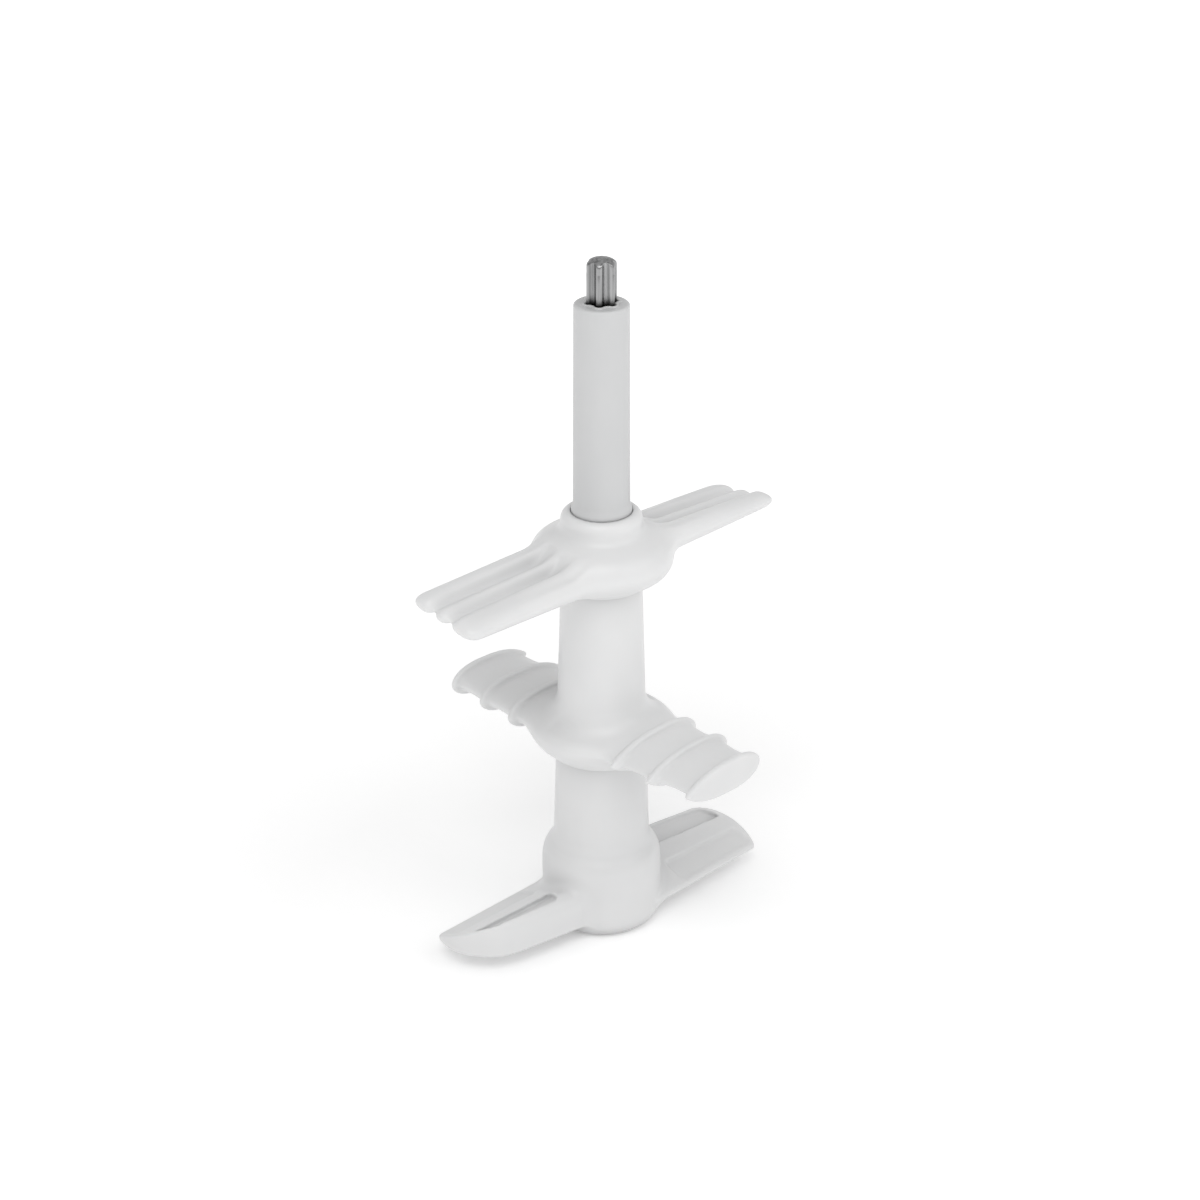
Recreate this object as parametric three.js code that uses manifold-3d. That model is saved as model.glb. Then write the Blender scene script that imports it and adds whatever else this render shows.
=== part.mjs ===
// Three-stage mixing paddle: a fluted steel drive shaft carries a grey drive sleeve and three
// stacked plastic mouldings, each with a hub, a tapered neck and a pair of blades.
// Millimetres, +Z up. The origin is the middle of the foot; the upper and lower blades lie
// along X and the middle blades along Y.
import * as THREE from 'three';
import { mergeVertices } from 'three/addons/utils/BufferGeometryUtils.js';
import Module from 'manifold-3d';

const wasm = await Module();
wasm.setup();

// ---- driving dimensions ----

const GAP = 0.3; // clearance between touching pieces
const ROUND = 36; // segments round a turned face

// Fluted drive shaft
const SHAFT_TOP = 180.4;
const SHAFT_FOOT = 16;
const LOBES = 6;
const LOBE_R = 3.8;
const FLUTE_R = 2.75;
const LOBE_PHASE = 34; // degrees from +X to the first lobe
const DOME_H = 2;
const TAP_R = 2.2;
const TAP_DEPTH = 13;
const CLIP_GROOVE = 0.6; // depth of the clip's groove below the lobes
const CLIP_GROOVE_PLAY = 0.4; // how much wider the groove is than the clip
const CLIP_T = 0.9;
const CLIP_R = 5.2;
const CLIP_OPENING = 3.2;

// Drive sleeve
const SLEEVE_TOP = 169.1;
const SLEEVE_FOOT = 107.2;
const CLIP_AT = SLEEVE_FOOT + 0.3; // underside of the clip
const SLEEVE_WELL = CLIP_AT + CLIP_T + 1.1; // top of the hollow over the clip
const SLEEVE_TOP_R = 6.75;
const SLEEVE_FOOT_R = 7.05;
const SLEEVE_FLARE_R = 7.3;
const SLEEVE_EDGE = 0.6;
const LIP_H = 0.35;
const LIP_W = 0.9;

// Upper stage
const COLLAR_TOP = 115.9;
const COLLAR_R = 10.2;
const COLLAR_ROUND = 2.3;
const SOCKET_R = 7.65; // pocket that takes the sleeve's foot
const UPPER_H = 103.8; // height of the hub's widest line
const UPPER_HUB_R = 18;
const UPPER_HUB_TOP = 107.7;
const UPPER_ROOF_TOP = 110.7; // where the sloping top of the hub meets the collar
const UPPER_FOOT = 96.2;

// Middle stage
const MIDDLE_H = 56.3;
const MIDDLE_HUB_R = 18.3;
const MIDDLE_HUB_TOP = 58.3;
const MIDDLE_FOOT = 49.6;

// Lower stage
const LOWER_HUB_R = 15.7;
const LOWER_SHOULDER = 15.6;
const LOWER_SHOULDER_TOP = 22.4;
const FOOT_ROUND = 4.2;

// Necks: the radius grows evenly towards the foot
const NECK_TOP_R = 10.25; // just under the upper hub
const NECK_DRAFT = 0.0303; // growth in radius for each millimetre down
const SPIGOT_H = 3; // length of a neck's end inside the hub above it
const HUB_ROUND = 5.2; // lower edge radius of the two round hubs
const HUB_RIM = 2; // upper edge radius of the two round hubs

// Upper blades: three ribs with two grooves between them
const UPPER_TIP = 52.2;
const UPPER_ROOT_HALF = 10.3;
const UPPER_TIP_HALF = 10.7;
const UPPER_ROOT_T = 9;
const UPPER_TIP_T = 5;
const UPPER_TIP_ROUND = 2.6;
const GROOVE_AT = [-3.4, 2.2]; // middle of each groove, across the blade
const GROOVE_DEPTH = 1.7;
const GROOVE_SPREAD = 1.6;
const PITCH = 9; // degrees of twist of the upper blades about their own length

// Middle blades: a drop-shaped body with three flanges
const MIDDLE_TIP = 42.4;
const FLANGE_T = 1.8;
const FLANGE_HALF = [14.9, 14.2, 13.2]; // half widths, inner flange first
const FLANGE_THICK = [10.2, 10, 9.8];
const FLANGE_AT = [18.2, 29.6, MIDDLE_TIP - FLANGE_T / 2];
const FLANGE_RECESS = 1.3; // how far the body lies inside the flanges

// Lower blades: a ramp from a thin edge to a high lip
const LOWER_TIP = 46.4;
const RAMP_FOOT = 4.6;
const THIN_TOP = 6.1;
const THIN_SIDE = 14.6;
const LIP_TOP = 14.2;
const LIP_INNER = 2.95;
const LIP_OUTER = 4.6;

// Fixings inside the foot
const PLUG_R = 7.6;
const PLUG_H = 2.2;
const WELL_R = 6.4;
const WELL_TOP = 10.6;
const SCREW_R = 1.9;
const HEAD_R = 3.5;
const HEAD_H = 4;
const WASHER_R = 5.6;
const WASHER_T = 0.9;
const RING_R = 0.75; // thickness radius of the three seal rings
const SEAL_DEPTH = 2 * RING_R + GAP;
const SEAL_R = 7;
const SLEEVE_SEAL_R = 6.3;

// ---- materials ----

const white = () => new THREE.MeshStandardMaterial({ color: 0xe6e7e8, roughness: 0.35, metalness: 0 });
const grey = () => new THREE.MeshStandardMaterial({ color: 0xcfd1d2, roughness: 0.4, metalness: 0 });
const steel = () => new THREE.MeshStandardMaterial({ color: 0x8b8d8f, roughness: 0.3, metalness: 1 });
const rubber = () => new THREE.MeshStandardMaterial({ color: 0x222325, roughness: 0.8, metalness: 0 });

// ---- geometry helpers ----

const radians = THREE.MathUtils.degToRad;
const turned = (x, y) => new THREE.Vector2(x, y);

function solid(geometry) {
  const bare = geometry.clone();
  bare.deleteAttribute('normal');
  bare.deleteAttribute('uv');
  const merged = mergeVertices(bare, 1e-4);
  return new wasm.Manifold(new wasm.Mesh({
    numProp: 3,
    vertProperties: new Float32Array(merged.attributes.position.array),
    triVerts: new Uint32Array(merged.index.array),
  }));
}

function geometryOf(manifold) {
  const mesh = manifold.getMesh();
  const geometry = new THREE.BufferGeometry();
  geometry.setAttribute('position', new THREE.BufferAttribute(mesh.vertProperties, 3));
  geometry.setIndex(new THREE.BufferAttribute(mesh.triVerts, 1));
  geometry.computeVertexNormals();
  return geometry;
}

// A turned piece about Z from a profile of radius and height.
function lathe(profile, segments = ROUND) {
  const geometry = new THREE.LatheGeometry(profile, segments);
  geometry.rotateX(Math.PI / 2);
  return solid(geometry);
}

function cylinder(radius, from, to, segments = ROUND) {
  return lathe([turned(0, from), turned(radius, from), turned(radius, to), turned(0, to)], segments);
}

// Points of an arc in the radius-height plane, angles in degrees from the outward direction.
function arc(cx, cz, rx, rz, from, to, steps) {
  const points = [];
  for (let i = 0; i <= steps; i += 1) {
    const a = radians(from + ((to - from) * i) / steps);
    points.push(turned(cx + rx * Math.cos(a), cz + rz * Math.sin(a)));
  }
  return points;
}

// Outline of the fluted section, grown outwards by a clearance.
function flutedShape(grow) {
  const steps = LOBES * 6;
  const middle = (LOBE_R + FLUTE_R) / 2 + grow;
  const swing = (LOBE_R - FLUTE_R) / 2;
  const points = [];
  for (let i = 0; i < steps; i += 1) {
    const a = (i / steps) * Math.PI * 2;
    const wave = Math.cos(LOBES * a);
    const r = middle + swing * Math.sign(wave) * Math.abs(wave) ** 0.7;
    points.push(turned(r * Math.cos(a + radians(LOBE_PHASE)), r * Math.sin(a + radians(LOBE_PHASE))));
  }
  return new THREE.Shape(points);
}

function prism(shape, from, to) {
  const geometry = new THREE.ExtrudeGeometry(shape, { depth: to - from, bevelEnabled: false, curveSegments: 8 });
  geometry.translate(0, 0, from);
  return solid(geometry);
}

// A closed skin through a row of rings that all have the same number of points.
function loft(rings) {
  const count = rings[0].length;
  const positions = [];
  const index = [];
  rings.forEach((ring) => ring.forEach((p) => positions.push(p.x, p.y, p.z)));
  for (let r = 0; r + 1 < rings.length; r += 1) {
    for (let i = 0; i < count; i += 1) {
      const a = r * count + i;
      const b = r * count + ((i + 1) % count);
      index.push(a, b, b + count, a, b + count, a + count);
    }
  }
  [0, rings.length - 1].forEach((r) => {
    const centre = positions.length / 3;
    const mean = rings[r].reduce((sum, p) => sum.add(p), new THREE.Vector3()).divideScalar(count);
    positions.push(mean.x, mean.y, mean.z);
    for (let i = 0; i < count; i += 1) {
      const a = r * count + i;
      const b = r * count + ((i + 1) % count);
      if (r === 0) index.push(centre, b, a);
      else index.push(centre, a, b);
    }
  });
  const geometry = new THREE.BufferGeometry();
  geometry.setAttribute('position', new THREE.Float32BufferAttribute(positions, 3));
  geometry.setIndex(index);
  return solid(geometry);
}

const neckR = (z) => NECK_TOP_R + (UPPER_FOOT - z) * NECK_DRAFT;
const bothSides = (blade) => blade.add(blade.rotate([0, 0, 180]));

const group = new THREE.Group();
function part(name, manifold, material) {
  const mesh = new THREE.Mesh(geometryOf(manifold), material);
  mesh.name = name;
  group.add(mesh);
}

// ---- drive shaft ----

const shaftEnvelope = lathe([
  turned(0, SHAFT_FOOT),
  turned(LOBE_R + 1, SHAFT_FOOT),
  turned(LOBE_R + 1, SHAFT_TOP - DOME_H - 1),
  ...arc(0, SHAFT_TOP - DOME_H, LOBE_R, DOME_H, 0, 90, 8).slice(0, -1),
  turned(0, SHAFT_TOP),
]);
const clipGroove = cylinder(LOBE_R + 1, CLIP_AT - CLIP_GROOVE_PLAY / 2, CLIP_AT + CLIP_T + CLIP_GROOVE_PLAY / 2)
  .subtract(cylinder(LOBE_R - CLIP_GROOVE, CLIP_AT - 1, CLIP_AT + 3));
const shaft = prism(flutedShape(0), SHAFT_FOOT, SHAFT_TOP)
  .intersect(shaftEnvelope)
  .subtract(cylinder(TAP_R, SHAFT_FOOT - 1, SHAFT_FOOT + TAP_DEPTH, 32))
  .subtract(clipGroove);
part('drive_shaft', shaft, steel());

const shaftBore = prism(flutedShape(GAP), SHAFT_FOOT - GAP, SHAFT_TOP + 5);

// ---- drive sleeve ----

const sleeveSkin = lathe([
  turned(0, SLEEVE_FOOT),
  turned(SLEEVE_FLARE_R, SLEEVE_FOOT),
  turned(SLEEVE_FLARE_R, COLLAR_TOP - 0.6),
  turned(SLEEVE_FOOT_R, COLLAR_TOP + 1),
  turned(SLEEVE_TOP_R, SLEEVE_TOP - SLEEVE_EDGE),
  ...arc(SLEEVE_TOP_R - SLEEVE_EDGE, SLEEVE_TOP - SLEEVE_EDGE, SLEEVE_EDGE, SLEEVE_EDGE, 0, 90, 4).slice(1),
  turned(0, SLEEVE_TOP),
]);
const sleeve = sleeveSkin
  .add(prism(flutedShape(GAP + LIP_W), SLEEVE_TOP - 1, SLEEVE_TOP + LIP_H))
  .subtract(shaftBore)
  .subtract(cylinder(CLIP_R + GAP, SLEEVE_FOOT - 1, SLEEVE_WELL));
part('drive_sleeve', sleeve, grey());

// ---- clip on the shaft, which holds the stack from above ----

const clip = cylinder(CLIP_R, CLIP_AT, CLIP_AT + CLIP_T, 40)
  .subtract(cylinder(LOBE_R + GAP, CLIP_AT - 1, CLIP_AT + 3, 40))
  .subtract(solid(new THREE.BoxGeometry(12, CLIP_OPENING, 6).translate(6, 0, CLIP_AT)));
part('shaft_clip', clip, steel());

// ---- ring grooves and seals ----

function ringGroove(radius, z, depth) {
  const width = RING_R + GAP + 0.15;
  return lathe([
    turned(radius - width, z - depth),
    turned(radius + width, z - depth),
    turned(radius + width, z + 1),
    turned(radius - width, z + 1),
    turned(radius - width, z - depth),
  ]);
}

function sealRing(radius, z) {
  return lathe(arc(radius, z, RING_R, RING_R, 0, 360, 8), 28);
}

// ---- upper stage ----

const SOCKET_FLOOR = SLEEVE_FOOT - GAP;
const upperTurned = lathe([
  turned(0, UPPER_FOOT),
  turned(neckR(UPPER_FOOT) + 0.9, UPPER_FOOT),
  ...arc(UPPER_HUB_R - HUB_ROUND, UPPER_H, HUB_ROUND, HUB_ROUND, -80, 0, 6),
  ...arc(UPPER_HUB_R - HUB_RIM, UPPER_HUB_TOP - HUB_RIM, HUB_RIM, HUB_RIM, 0, 90, 4),
  turned(COLLAR_R + 0.5, UPPER_ROOF_TOP),
  turned(COLLAR_R, UPPER_ROOF_TOP + 0.5),
  ...arc(COLLAR_R - COLLAR_ROUND, COLLAR_TOP - COLLAR_ROUND, COLLAR_ROUND, COLLAR_ROUND, 0, 90, 6),
  turned(0, COLLAR_TOP),
]);

// Height of the ribbed surface from the blade's middle plane at a place across a blade of half width half.
function ribbed(across, half, thickness, groove) {
  const rim = Math.sqrt(Math.max(0, 1 - Math.abs(across / half) ** 5));
  const dip = GROOVE_AT.reduce((sum, at) => sum + Math.exp(-(((across - at) / GROOVE_SPREAD) ** 2)), 0);
  return Math.max(0, (thickness / 2) * rim - groove * dip);
}

function upperRing(x, shrink) {
  const t = THREE.MathUtils.clamp((x - COLLAR_R) / (UPPER_TIP - COLLAR_R), 0, 1);
  const half = THREE.MathUtils.lerp(UPPER_ROOT_HALF, UPPER_TIP_HALF, t) * (0.8 + 0.2 * shrink);
  const thickness = THREE.MathUtils.lerp(UPPER_ROOT_T, UPPER_TIP_T, t) * shrink;
  const groove = GROOVE_DEPTH * shrink;
  const steps = 22;
  const ring = [];
  const tilt = radians(-PITCH);
  for (let i = 0; i < 2 * steps; i += 1) {
    const top = i < steps;
    const a = (Math.PI * (i % steps)) / steps;
    const s = top ? Math.cos(a) : -Math.cos(a);
    const y = s * half;
    const z = ribbed(y, half, thickness, groove) * (top ? 1 : -1);
    const reach = x + (1 - shrink) * 0.9 * Math.cos(s * 2.9 * Math.PI);
    ring.push(new THREE.Vector3(
      reach,
      y * Math.cos(tilt) - z * Math.sin(tilt),
      UPPER_H + y * Math.sin(tilt) + z * Math.cos(tilt),
    ));
  }
  return ring;
}

const upperBlade = loft([
  upperRing(4, 1),
  upperRing(COLLAR_R + 4, 1),
  upperRing(UPPER_TIP - 20, 1),
  upperRing(UPPER_TIP - UPPER_TIP_ROUND, 1),
  upperRing(UPPER_TIP - UPPER_TIP_ROUND * 0.5, 0.87),
  upperRing(UPPER_TIP - UPPER_TIP_ROUND * 0.13, 0.5),
  upperRing(UPPER_TIP, 0.12),
]);

const upperSpigotR = neckR(UPPER_FOOT) + GAP;
const upper = upperTurned
  .add(bothSides(upperBlade))
  .subtract(cylinder(SOCKET_R, SOCKET_FLOOR, COLLAR_TOP + 1))
  .subtract(cylinder(upperSpigotR, UPPER_FOOT - 1, UPPER_FOOT + SPIGOT_H + GAP))
  .subtract(shaftBore)
  .subtract(ringGroove(SLEEVE_SEAL_R, SOCKET_FLOOR, SEAL_DEPTH));
part('upper_paddle', upper, white());

// ---- middle stage ----

const middleTop = UPPER_FOOT + SPIGOT_H;
const middleTurned = lathe([
  turned(0, MIDDLE_FOOT),
  turned(neckR(MIDDLE_FOOT) + 1.5, MIDDLE_FOOT),
  ...arc(MIDDLE_HUB_R - HUB_ROUND, MIDDLE_H, HUB_ROUND, HUB_ROUND, -78, 0, 6),
  ...arc(MIDDLE_HUB_R - HUB_RIM, MIDDLE_HUB_TOP - HUB_RIM, HUB_RIM, HUB_RIM, 0, 80, 4),
  turned(neckR(MIDDLE_H) + 1.7, MIDDLE_HUB_TOP + 1.1),
  turned(neckR(MIDDLE_H + 7), MIDDLE_HUB_TOP + 5),
  turned(neckR(middleTop), middleTop),
  turned(0, middleTop),
]);

// Drop outline: a blunt edge towards -X and a thinner one towards +X.
function dropRing(y, half, thick) {
  const steps = 26;
  const ring = [];
  for (let i = 0; i < steps; i += 1) {
    const a = (i / steps) * Math.PI * 2;
    const across = -Math.cos(a);
    const blunt = across < 0;
    const rise = Math.sqrt(1 - Math.abs(across) ** (blunt ? 2.6 : 2)) * (blunt ? 1 : 1 - 0.25 * across);
    const x = half * across * (blunt ? 1 : 0.95);
    ring.push(new THREE.Vector3(x, y, MIDDLE_H + (thick / 2) * rise * Math.sign(Math.sin(a))));
  }
  return ring;
}

function middleFlange(i) {
  const from = FLANGE_AT[i] - FLANGE_T / 2;
  return loft([
    dropRing(from, FLANGE_HALF[i], FLANGE_THICK[i]),
    dropRing(from + FLANGE_T, FLANGE_HALF[i], FLANGE_THICK[i]),
  ]);
}

const bodyThick = (i) => FLANGE_THICK[i] - 2 * FLANGE_RECESS;
const bodyHalf = (i) => FLANGE_HALF[i] - 1.5 * FLANGE_RECESS;
let middleBlade = loft([
  dropRing(4, bodyHalf(0), bodyThick(0)),
  dropRing(FLANGE_AT[0], bodyHalf(0), bodyThick(0)),
  dropRing(FLANGE_AT[1], bodyHalf(1), bodyThick(1)),
  dropRing(FLANGE_AT[2], bodyHalf(2), bodyThick(2)),
]);
FLANGE_AT.forEach((_, i) => {
  middleBlade = middleBlade.add(middleFlange(i));
});

const middleSpigotR = neckR(MIDDLE_FOOT) + GAP;
const middle = middleTurned
  .add(bothSides(middleBlade))
  .subtract(cylinder(middleSpigotR, MIDDLE_FOOT - 1, MIDDLE_FOOT + SPIGOT_H + GAP))
  .subtract(shaftBore)
  .subtract(ringGroove(SEAL_R, middleTop, SEAL_DEPTH));
part('middle_paddle', middle, white());

// ---- lower stage ----

const lowerTop = MIDDLE_FOOT + SPIGOT_H;
const shoulderR = LOWER_HUB_R - neckR(LOWER_SHOULDER_TOP);
const lowerTurned = lathe([
  turned(0, 0),
  turned(LOWER_HUB_R - FOOT_ROUND, 0),
  ...arc(LOWER_HUB_R - FOOT_ROUND, FOOT_ROUND, FOOT_ROUND, FOOT_ROUND, -90, 0, 8).slice(1),
  ...arc(LOWER_HUB_R - shoulderR, LOWER_SHOULDER, shoulderR,
    LOWER_SHOULDER_TOP - LOWER_SHOULDER, 0, 90, 8),
  turned(neckR(lowerTop), lowerTop),
  turned(0, lowerTop),
]);

// Section of the ramp across its length, extruded along X.
const rampShape = new THREE.Shape([
  turned(-THIN_SIDE, RAMP_FOOT),
  turned(LIP_OUTER + 2.2, RAMP_FOOT),
  turned(LIP_OUTER + 2.2, RAMP_FOOT + 2),
  turned(LIP_OUTER + 0.9, LIP_TOP - 3.4),
  turned(LIP_OUTER, LIP_TOP - 0.6),
  turned(LIP_OUTER - 0.6, LIP_TOP),
  turned(LIP_INNER - 0.2, LIP_TOP),
  turned(-THIN_SIDE, THIN_TOP),
]);
const rampGeometry = new THREE.ExtrudeGeometry(rampShape, { depth: LOWER_TIP + 2, bevelEnabled: false });
rampGeometry.rotateX(Math.PI / 2);
rampGeometry.rotateZ(Math.PI / 2);
const ramp = solid(rampGeometry);

// Plan outline of one lower blade: straight thin edge, curved end, outer side drawn in to the tip.
const bladePlan = new THREE.Shape();
bladePlan.moveTo(0, -THIN_SIDE);
bladePlan.lineTo(LOWER_TIP - 1.2, -THIN_SIDE);
bladePlan.quadraticCurveTo(LOWER_TIP + 1, -5, LOWER_TIP - 4.4, 1.2);
bladePlan.quadraticCurveTo(LOWER_TIP - 6, 4.6, LOWER_TIP - 10.4, 4.9);
bladePlan.lineTo(18, 7.2);
bladePlan.lineTo(0, 7.2);

// The two long pockets in the sloping top.
function pocket(yFrom, yTo, floor) {
  const length = LOWER_TIP - 6 - LOWER_HUB_R;
  return solid(new THREE.BoxGeometry(length, yTo - yFrom, 20)
    .translate(LOWER_HUB_R + 1 + length / 2, (yFrom + yTo) / 2, floor + 10));
}

const lowerBlade = ramp
  .intersect(prism(bladePlan, RAMP_FOOT - 1, LIP_TOP + 1))
  .subtract(pocket(-2.4, LIP_INNER - 0.3, 9.4))
  .subtract(pocket(-12.6, -8, 6.3));

const foot = cylinder(WELL_R, -1, WELL_TOP)
  .add(cylinder(PLUG_R + GAP, -1, PLUG_H + GAP))
  .add(cylinder(SCREW_R + 0.4, WELL_TOP - 1, SHAFT_FOOT + 1, 32));
const lower = lowerTurned
  .add(bothSides(lowerBlade))
  .subtract(foot)
  .subtract(shaftBore)
  .subtract(ringGroove(SEAL_R, lowerTop, SEAL_DEPTH));
part('lower_paddle', lower, white());

// ---- seals ----

part('sleeve_seal_ring', sealRing(SLEEVE_SEAL_R, SOCKET_FLOOR - SEAL_DEPTH + RING_R + 0.1), rubber());
part('upper_seal_ring', sealRing(SEAL_R, middleTop - SEAL_DEPTH + RING_R + 0.1), rubber());
part('lower_seal_ring', sealRing(SEAL_R, lowerTop - SEAL_DEPTH + RING_R + 0.1), rubber());

// ---- clamp screw, washers and plug in the foot ----

const washerTop = WELL_TOP - GAP;
const lockTop = washerTop - WASHER_T - GAP;
const headTop = lockTop - WASHER_T - GAP;
function washer(outer, top) {
  return cylinder(outer, top - WASHER_T, top, 40).subtract(cylinder(SCREW_R + GAP, top - 2, top + 1, 40));
}
part('clamp_washer', washer(WASHER_R, washerTop), steel());
const lockSlit = solid(new THREE.BoxGeometry(6, 0.7, 4).translate(4, 0, lockTop));
part('lock_washer', washer(HEAD_R + 0.1, lockTop).subtract(lockSlit), steel());

const hexSocket = cylinder(1.6, headTop - HEAD_H - 1, headTop - HEAD_H + 2.2, 6);
const screwEnd = SHAFT_FOOT + TAP_DEPTH - 2;
const screw = cylinder(HEAD_R, headTop - HEAD_H, headTop, 40)
  .add(cylinder(SCREW_R, headTop - 0.5, screwEnd, 32))
  .subtract(hexSocket);
part('clamp_screw', screw, steel());

part('foot_plug', lathe([
  turned(0, 0),
  turned(PLUG_R, 0),
  turned(PLUG_R, PLUG_H),
  turned(0, PLUG_H),
]), white());

export default group;
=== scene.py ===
"""Three-stage mixing paddle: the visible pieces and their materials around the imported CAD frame.

The three white mouldings are solid fields (negative inside), blended with soft fillets and meshed
on a fine grid. The steel shaft, the grey sleeve and the foot plug are meshed directly. Shapes are
worked out in millimetres in the part's own frame and turned into metres when a mesh is made.
"""
import math

import bpy
import numpy as np
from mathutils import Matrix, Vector


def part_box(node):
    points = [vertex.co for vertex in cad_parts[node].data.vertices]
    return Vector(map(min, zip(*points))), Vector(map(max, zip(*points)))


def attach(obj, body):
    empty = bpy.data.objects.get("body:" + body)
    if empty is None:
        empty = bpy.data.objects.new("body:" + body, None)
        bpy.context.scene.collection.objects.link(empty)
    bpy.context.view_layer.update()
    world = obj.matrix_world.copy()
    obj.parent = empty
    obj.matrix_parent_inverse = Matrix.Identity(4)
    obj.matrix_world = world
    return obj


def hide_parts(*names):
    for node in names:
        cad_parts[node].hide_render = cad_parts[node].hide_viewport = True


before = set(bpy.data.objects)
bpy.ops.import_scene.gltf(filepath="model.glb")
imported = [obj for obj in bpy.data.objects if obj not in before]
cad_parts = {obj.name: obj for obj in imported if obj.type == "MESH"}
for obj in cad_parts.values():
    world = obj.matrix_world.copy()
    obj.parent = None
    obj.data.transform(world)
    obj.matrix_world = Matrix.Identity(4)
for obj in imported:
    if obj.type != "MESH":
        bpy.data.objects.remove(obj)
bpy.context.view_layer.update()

MM = 0.001
CELL = 0.42  # grid step of the mouldings


def low(node):
    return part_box(node)[0].z / MM


def high(node):
    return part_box(node)[1].z / MM


# ---------------------------------------------------------------- dimensions

GAP = 0.3  # play between pieces that fit together

SHAFT_TOP = high("drive_shaft")
SHAFT_FOOT = low("drive_shaft")
LOBES = 6
LOBE_R = 3.8
FLUTE_R = 2.75
LOBE_PHASE = math.radians(34)
LOBE_SQUARENESS = 0.7  # below 1 the lobes and flutes are blunter than a plain wave
DOME_H = 2.0

SLEEVE_TOP = high("drive_sleeve") - 0.35
SLEEVE_FOOT = low("drive_sleeve")
SLEEVE_R = 6.75
SLEEVE_FLARE = 7.56

COLLAR_TOP = high("upper_paddle")
COLLAR_R = 10.2
SOCKET_R = 7.6

UPPER_FOOT = low("upper_paddle")
UPPER_H = 103.8
UPPER_HUB_R = 18.0
UPPER_ROOF_TOP = 110.7
UPPER_ROOF_SLOPE = 0.51
UPPER_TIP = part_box("upper_paddle")[1].x / MM

MIDDLE_FOOT = low("middle_paddle")
MIDDLE_TOP = high("middle_paddle")
MIDDLE_H = 56.3
MIDDLE_HUB_R = 18.3
MIDDLE_HUB_TOP = 58.3
MIDDLE_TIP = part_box("middle_paddle")[1].y / MM

LOWER_TOP = high("lower_paddle")
LOWER_HUB_R = 15.7
LOWER_SHOULDER = 15.6
LOWER_SHOULDER_TOP = 22.4
FOOT_ROUND = 4.2
LOWER_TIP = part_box("lower_paddle")[1].x / MM

NECK_R = 10.25
NECK_DRAFT = 0.0303
SPIGOT_H = 3.0
SEAL_HALF_W = 1.2
SEAL_DEPTH = 1.8
SLEEVE_SEAL_R = 6.3
NECK_SEAL_R = 7.0


def neck_r(z):
    """Radius of the tapered necks, which widen downwards by their draft."""
    return NECK_R + (UPPER_FOOT - z) * NECK_DRAFT


# ---------------------------------------------------------------- field helpers

def smin(a, b, k):
    """Union of two fields with a fillet of size k."""
    h = np.maximum(k - np.abs(a - b), 0) / k
    return np.minimum(a, b) - h * h * k * 0.25


def smax(a, b, k):
    """Overlap of two fields with a rounded edge of size k."""
    return -smin(-a, -b, k)


def cut(a, b, k=0.4):
    """Field a with field b taken out."""
    return smax(a, -b, k)


def smooth(value, start, end):
    """0 up to start, 1 from end on, and an easy step between them."""
    t = np.clip((value - start) / (end - start), 0, 1)
    return t * t * (3 - 2 * t)


def mix(a, b, t):
    return a + (b - a) * t


def disc(rho, z, radius, bottom, top, low_round, high_round):
    """A round plate with its own edge radius below and above."""
    middle = bottom + (top - bottom) * low_round / (low_round + high_round)
    r = np.where(z > middle, high_round, low_round)
    half = np.where(z > middle, top - middle, middle - bottom)
    qx = rho - radius + r
    qz = np.abs(z - middle) - half + r
    outside = np.hypot(np.maximum(qx, 0), np.maximum(qz, 0))
    return np.minimum(np.maximum(qx, qz), 0) + outside - r


def slab(z, bottom, top):
    """All that lies between two heights."""
    return np.maximum(bottom - z, z - top)


def fluted_r(angle, grow):
    """Radius of the shaft's six-lobed outline, grown outwards by a margin."""
    wave = np.cos(LOBES * (angle - LOBE_PHASE))
    shaped = np.sign(wave) * np.abs(wave) ** LOBE_SQUARENESS
    return (LOBE_R + FLUTE_R) / 2 + grow + (LOBE_R - FLUTE_R) / 2 * shaped


def cavities(field, x, y, z, foot, seal_z, seal_r):
    """Takes out the fluted bore, the spigot pocket in the foot and the seal ring's groove."""
    rho = np.hypot(x, y)
    bore = np.maximum(rho - fluted_r(np.arctan2(y, x), GAP), SHAFT_FOOT - GAP - z)
    field = cut(field, bore)
    if foot is not None:
        spigot = np.maximum(rho - neck_r(foot) - GAP, z - foot - SPIGOT_H - GAP)
        field = cut(field, spigot)
    groove = np.maximum(np.abs(rho - seal_r) - SEAL_HALF_W, seal_z - SEAL_DEPTH - z)
    return cut(field, groove)


# ---------------------------------------------------------------- upper moulding

UPPER_PITCH = math.radians(9)
UPPER_HALF_W = 10.75
UPPER_SWEEP = 0.02  # how far the upper blades lean round the axis, as a slope
UPPER_ROOT = 14  # where the blade's taper starts
ROOT_HALF_T, TIP_HALF_T = 4.15, 2.35
UNDERSIDE_SQUEEZE = 1.16  # the blade is this many times thinner below its middle plane
CROWN_FALL = 0.012
CROWN_FLAT = 5.2  # half width of the part of the crown that doesn't fall
GROOVES = (-3.5, 2.2)  # places of the two deep grooves across the blade
GROOVE_HALF_W = 1.8
ROOT_GROOVE_DEPTH, TIP_GROOVE_DEPTH = 2.9, 1.5
FLANK_GROOVES = (-7.6, 7.6)  # shallow ones that fade out along the blade
FLANK_HALF_W = 1.1
FLANK_DEPTH = 0.6
MIDDLE_RIB_DIP = 0.4
NOTCH = 1.3  # depth and half width of the notch where a groove runs out at the tip
THINNEST_CROWN = 0.8
ROOT_RIM, TIP_RIM = 4.2, 3.4  # width of the rounded rim
BLADE_START = 7.0  # the blade's field ends inside the hub, short of the axis
UPPER_HUB_ROUND = 5.2
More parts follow.
